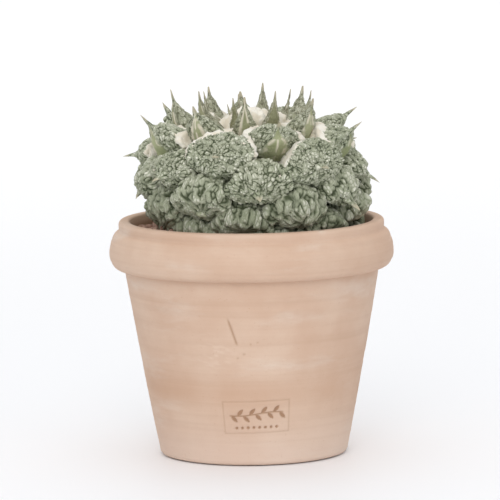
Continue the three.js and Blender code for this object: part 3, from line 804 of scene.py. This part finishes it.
pot = {
    "lipSetIn": 4.9, "lipHeight": 4.6, "lipRound": 1.7, "rollHeight": 20.4, "rollUndercut": 7.7,
    "rollMiddle": 0.36, "footRadius": 50.0, "footRound": 3.0, "belly": 0.35, "wall": 6.3, "floor": 8.0,
    "floorRound": 5.0, "mouthWaist": 1.6, "drainRadius": 11.0,
    # steps between rows under the foot, up the outside and down the inside, then round the front and the rest
    "underStep": 3.0, "underRun": 38.0, "rowStep": 0.44, "insideStep": 2.2, "frontStep": 0.4, "sideStep": 3.8,
    # the front is finely divided to this far from its middle, and the stamp lies on it
    "frontHalf": 29.0, "stampCentre": (1.3, 26.6), "stampHalf": (17.3, 8.9), "stampTilt": 1.5,
    "stampDepth": 0.55,
    # radii that turn an angle into millimetres round the front, the stamp, the scratch, the chips and the rest
    "frontRadius": 53.0, "stampRadius": 53.5, "scratchRadius": 60.0, "chipRadius": 52.0, "restRadius": 70.0,
    "damp": (38.0, 7.5),  # the damp band's height and half width
    "scratchTop": (-12.4, 80.0), "scratchSlope": 0.30,
    "pits": ((-4.6, 60.5, 0.6), (-1.2, 65.8, 0.5), (2.4, 66.8, 0.45), (-8.0, 58.4, 0.5)),  # across, up, width
    "chips": ((-0.92, 0.4, 1.5), (2.3, 1.2, 2.8), (-2.4, 3.0, 1.8), (0.55, 124.6, 1.5)),  # turn, up, width
    "rings": ((0.8, 0.9, 0.5), (5.5, 0.7, 0.25), (17.0, 0.8, 0.2)),  # below the lip, width, depth
}
groove = potHeight - pot["lipHeight"]
rollLow = groove - pot["rollHeight"]


def potOutline():
    # (radius, height) points round the wall, from the drain hole's edge: foot, tapered wall, rolled rim,
    # groove, lip, inside, floor, drain hole; also how many of them lie under the foot
    s = pot
    lip = rimRadius - s["lipSetIn"]
    wallTop = rimRadius - s["rollUndercut"]
    mouth = lip - s["wall"]
    foot, lipRound, drain = s["footRound"], s["lipRound"], s["drainRadius"]

    def arc(centreR, centreZ, radiusR, radiusZ, start, end, steps):  # part of an ellipse, in degrees
        a = np.radians(np.linspace(start, end, steps))
        return np.stack([centreR + radiusR * np.cos(a), centreZ + radiusZ * np.sin(a)], axis=-1)

    def taperAt(z):  # the outer wall's radius at a height
        return mix(s["footRadius"], wallTop, (z - foot) / (rollLow - foot))

    upWall = np.linspace(0, 0.995, 60)
    swell = s["belly"] * np.sin(math.pi * upWall)  # the wall swells a little between foot and roll
    middle = rollLow + s["rollHeight"] * s["rollMiddle"]
    edge = s["floor"] + s["floorRound"]
    inEdge = taperAt(edge) - s["wall"]
    inTop = taperAt(rollLow - 4) - s["wall"]
    outline = np.concatenate([
        [[drain, 0.0], [drain + 8, 0.0]],
        arc(s["footRadius"] - foot, foot, foot, foot, -90, 0, 8)[:-1],
        np.stack([mix(s["footRadius"], wallTop, upWall) + swell, mix(foot, rollLow, upWall)], axis=-1),
        arc(wallTop + 0.8, rollLow - 0.3, 0.8, 0.7, 180, 60, 6),
        arc(wallTop + 2.4, middle, rimRadius - wallTop - 2.4, middle - rollLow + 0.2, -92, 0, 18)[:-1],
        arc(lip - 1.0, middle, rimRadius - lip + 1.0, groove - middle - 0.4, 0, 72, 18),
        arc(lip + 0.9, groove + 0.5, 0.9, 0.9, -120, -180, 5),
        arc(lip - lipRound, potHeight - lipRound, lipRound, lipRound, 0, 90, 9),
        arc(mouth + lipRound, potHeight - lipRound, lipRound, lipRound, 90, 180, 9),
        [[mouth - s["mouthWaist"] * 0.6, groove - 1.0], [mouth - s["mouthWaist"], groove - 4.5],
         [inTop + 0.1, rollLow - 2], [inTop, rollLow - 6], [inEdge, edge]],
        arc(inEdge - s["floorRound"], edge, s["floorRound"], s["floorRound"], -5, -90, 8),
        [[drain + 1.2, s["floor"]], [drain + 0.2, s["floor"] - 0.8], [drain, s["floor"] - 2.5]],
    ])
    run = np.concatenate([[0], np.cumsum(np.linalg.norm(np.diff(outline, axis=0), axis=-1))])
    # the outside gets fine rows, the inside coarse ones
    under = np.arange(0, s["underRun"], s["underStep"])
    inside = run[np.argmax(outline[:, 1]) + 6]
    places = np.concatenate([under, np.arange(s["underRun"], inside, s["rowStep"]),
                             np.arange(inside, run[-1], s["insideStep"])])
    return np.stack([np.interp(places, run, outline[:, i]) for i in range(2)], axis=-1), len(under)


def leaf(a, b, centreA, centreB, turn, halfLong, halfWide):
    # 1 inside a pointed leaf, 0 outside, with a soft edge: |b| < halfWide * (1 - (a / halfLong)^2)
    c, s = math.cos(math.radians(turn)), math.sin(math.radians(turn))
    la, lb = (a - centreA) * c + (b - centreB) * s, -(a - centreA) * s + (b - centreB) * c
    room = halfWide * np.clip(1 - (la / halfLong) ** 2, 0, 1) - np.abs(lb)
    return smoothStep(room, -0.12, 0.16) * (np.abs(la) < halfLong)


def stampMotif(a, b):
    # a pressed panel with a plain frame line, pointed leaves on a wavy twig, and a row of dots under it
    halfA, halfB = pot["stampHalf"]
    twigHeight, wave, waveLength, leafStep, dotStep, dotRadius = 1.6, 0.8, 5.5, 3.1, 3.0, 0.72
    inside = np.minimum(halfA - np.abs(a), halfB - np.abs(b))
    frameLine = near(inside, 0.4, 0.38) * (inside > -1)
    motif = near(b - twigHeight - wave * np.sin(a / waveLength), 0, 0.34) * smoothStep(14.2 - np.abs(a), 0, 1)
    for i in range(9):
        at = leafStep * (i - 4)
        base = twigHeight + wave * math.sin(at / waveLength)
        up = 1 if i % 2 else -1
        motif = np.maximum(motif, leaf(a, b, at + 1.0, base + up * 1.75, up * 48, 2.35, 0.95))
    for i in range(8):
        away = np.hypot(a - dotStep * (i - 3.5), b + 5.6)
        motif = np.maximum(motif, smoothStep(dotRadius - away, -0.15, 0.15))
    return frameLine, motif


def potGrid():
    # the outline turned round with a slightly uneven radius, then rings, stamp, scratch and chips pressed in
    s = pot
    outline, firstOuter = potOutline()
    frontHalf = s["frontHalf"] / s["frontRadius"]
    front = np.linspace(-frontHalf, frontHalf, int(2 * s["frontHalf"] / s["frontStep"]))
    restSteps = int((2 * math.pi - 2 * frontHalf) * s["restRadius"] / s["sideStep"])
    rest = np.linspace(frontHalf, 2 * math.pi - frontHalf, restSteps)[1:-1]
    around = np.concatenate([front, rest])  # from the front towards the right
    radius, z = outline[:, :1], outline[:, 1:] + 0 * around
    row = np.arange(len(outline))[:, None]
    outer = 1.0 * ((row >= firstOuter) & (row <= np.argmax(outline[:, 1])))
    outside = outer * (np.abs(around) < frontHalf)  # the finely divided front of the outside
    outward = np.stack([np.sin(around), -np.cos(around), 0 * around], axis=-1)[None]
    base = radius[..., None] * outward + z[..., None] * np.array([0.0, 0.0, 1.0])
    uneven = sum(high * softNoise(base, size, seed)
                 for size, seed, high in ((60.0, 81, 0.35), (22.0, 82, 0.16), (7.0, 86, 0.04)))
    # turning lines: noise that changes quickly with height and slowly round the pot
    slow, fine = (softNoise(np.stack([z, np.sin(around) * drawn + 0 * z, np.cos(around) * drawn + 0 * z],
                                     axis=-1), size, seed)
                  for drawn, size, seed in ((3, 2.6, 83), (2, 1.1, 84)))
    onRoll = smoothStep(z - rollLow, -1.3, 2.7)
    push = uneven * 0.8 + (slow * 0.1 + fine * 0.05) * mix(0.7, 1.3, onRoll)
    # the stamp, in millimetres across and up from its centre
    tilt = math.radians(s["stampTilt"])
    a, b = around * s["stampRadius"] - s["stampCentre"][0] + 0 * z, z - s["stampCentre"][1]
    a, b = a * math.cos(tilt) + b * math.sin(tilt), -a * math.sin(tilt) + b * math.cos(tilt)
    frameLine, motif = (part * outside for part in stampMotif(a, b))
    # a slanted scratch with a little row of pits beside it, by the distance across the front
    across = around * s["scratchRadius"] + 0 * z
    scratchAcross, scratchUp = s["scratchTop"]
    slant = across - scratchAcross - (scratchUp - z) * s["scratchSlope"]
    scratch = near(slant, 0, 0.55) * smoothStep(z, 64.5, 67) * (1 - smoothStep(z, 77, 81)) * outside
    pits = sum(near(np.hypot(across - x, z - up), 0, size) for x, up, size in s["pits"])
    pits = np.clip(pits, 0, 1) * outside
    chips = 0
    for turn, up, size in s["chips"]:
        gap = np.hypot((around - turn) * s["chipRadius"] + 0 * z, z - up)
        chips = chips + near(gap, 0, size) * (gap < 3 * size)
    chips = np.clip(chips, 0, 1) * outer
    rings = sum(near(z, groove - below, width) * deep for below, width, deep in s["rings"])
    push = ((push - rings) * outer - frameLine * 0.22 - motif * s["stampDepth"] - scratch * 0.4 - pits * 0.35
            - chips * 0.9)
    grid = base + outward * np.minimum(push, 0.25)[..., None]
    # a damp band, worn patches, and painted shade on the inside wall
    damp = near(z, *s["damp"]) * (0.55 + 0.45 * softNoise(base, 24.0, 87)) * outer
    smear = softNoise(np.stack([across / 4, z + 0.12 * across, 0 * z], axis=-1), 0.8, 88)
    patch = (near(np.hypot((across + 20) / 1.3, z - 60), 0, 8)
             + 0.6 * near(np.hypot((across - 9) / 1.8, z - 56), 0, 7)) * (np.abs(around) < frontHalf)
    scuffed = np.clip(0.5 * chips + smoothStep(smear, 0.0, 0.8) * 0.22 * patch, 0, 1)
    paintedInsideShade = (1 - outer) * smoothStep(potHeight - z, 1.5, 7) * smoothStep(z, 5, 10)  # painted shade: the inside wall below the lip is painted darker
    pressedAndShaded = np.clip(motif * 0.8 + frameLine * 0.28 + scratch * 0.65 + pits * 0.35 + paintedInsideShade * 0.8, 0, 1)
    return grid, {"damp": np.clip(damp, 0, 1), "pressedAndShaded": pressedAndShaded, "scuffed": scuffed * outer}


grid, marks = potGrid()
rows, ring = grid.shape[:2]
closing = ringFaces(2, ring)  # the drain hole's wall joins the last ring to the first
closing = np.where(closing >= ring, closing - ring, closing + (rows - 1) * ring)
points, quads = grid.reshape(-1, 3), np.concatenate([ringFaces(rows, ring), closing])
noTriangles = np.zeros((0, 3), dtype=int)
if volumeOf(points, quads, noTriangles) < 0:
    quads = quads[:, ::-1]
count = makePiece("clay_pot", points, quads, noTriangles, terracotta,
                  {mark: values + np.zeros((rows, ring)) for mark, values in marks.items()}, ["pot"])
print("pot:", count, "triangles")

studio = {
    "distance": 2.6, "height": 0.432, "aim": (-0.0008, 0.0, 0.1075), "framed": 0.2645, "roll": -0.8,
    "world": 1.12, "sides": 0.36, "key": 10.0, "keyPlace": (-0.15, -2.1, 1.4), "keyAim": (0, 0, 0.12),
    "keySize": 1.1, "floorSize": 14.0, "floorPlace": (0, 3.0, -0.0002),
}

floorMaterial, tree, place, _, _ = newMaterial("painted_white_floor")
far = addNode(tree, "SeparateXYZ", {}, {"Vector": place}, "Y")
# painted light: the floor is painted whiter towards the far end, and its far end glows with a little emission
floorShade = paint(tree, "#f8f9fc", ("#ffffff", far, -3.0, -0.5))
paintedFarGlow = paint(tree, "#000000", ("#ffffff", far, -2.8, -1.0))  # the far end is lit of itself
finish(tree, {"Base Color": floorShade, "Roughness": 0.6, "Emission Color": paintedFarGlow,
              "Emission Strength": 0.06})
bpy.ops.mesh.primitive_plane_add(size=studio["floorSize"], location=studio["floorPlace"])
floor = bpy.context.object
floor.name = "studio_floor"
floor.data.materials.append(floorMaterial)

world = bpy.data.worlds.new("white_room")
bpy.context.scene.world = world
world.use_nodes = True
tree = world.node_tree
sky = addNode(tree, "TexCoord", output="Generated")
sideways = addNode(tree, "SeparateXYZ", {}, {"Vector": sky}, "X")
sideways = addNode(tree, "Math", {"operation": "MULTIPLY"}, {0: sideways, 1: sideways})
glow = addNode(tree, "MapRange", {"interpolation_type": "SMOOTHSTEP"}, {
    "Value": sideways, "To Min": studio["world"], "To Max": studio["sides"]})  # dimmer at both sides
background = tree.nodes["Background"]
background.inputs["Color"].default_value = (1, 1, 1, 1)
tree.links.new(glow, background.inputs["Strength"])

light = bpy.data.lights.new("key_softbox", "AREA")
light.shape, light.size, light.energy = "DISK", studio["keySize"], studio["key"]
lamp = bpy.data.objects.new("key_softbox", light)
lamp.location = studio["keyPlace"]
towards = Vector(studio["keyAim"]) - Vector(studio["keyPlace"])
lamp.rotation_euler = towards.to_track_quat("-Z", "Y").to_euler()
bpy.context.scene.collection.objects.link(lamp)

camera = bpy.data.cameras.new("camera")
eye = Vector((studio["aim"][0], -studio["distance"], studio["height"]))
sight = Vector(studio["aim"]) - eye
camera.sensor_width = 36
camera.lens = camera.sensor_width * sight.length / studio["framed"]
camera.clip_start, camera.clip_end = 0.1, 50
cameraObject = bpy.data.objects.new("camera", camera)
cameraObject.rotation_mode = "QUATERNION"
level = sight.to_track_quat("-Z", "Y")
cameraObject.rotation_quaternion = level @ Euler((0, 0, math.radians(studio["roll"]))).to_quaternion()
cameraObject.location = eye
bpy.context.scene.collection.objects.link(cameraObject)
bpy.context.scene.camera = cameraObject
bpy.context.scene.view_settings.view_transform = "Standard"
print("studio set")
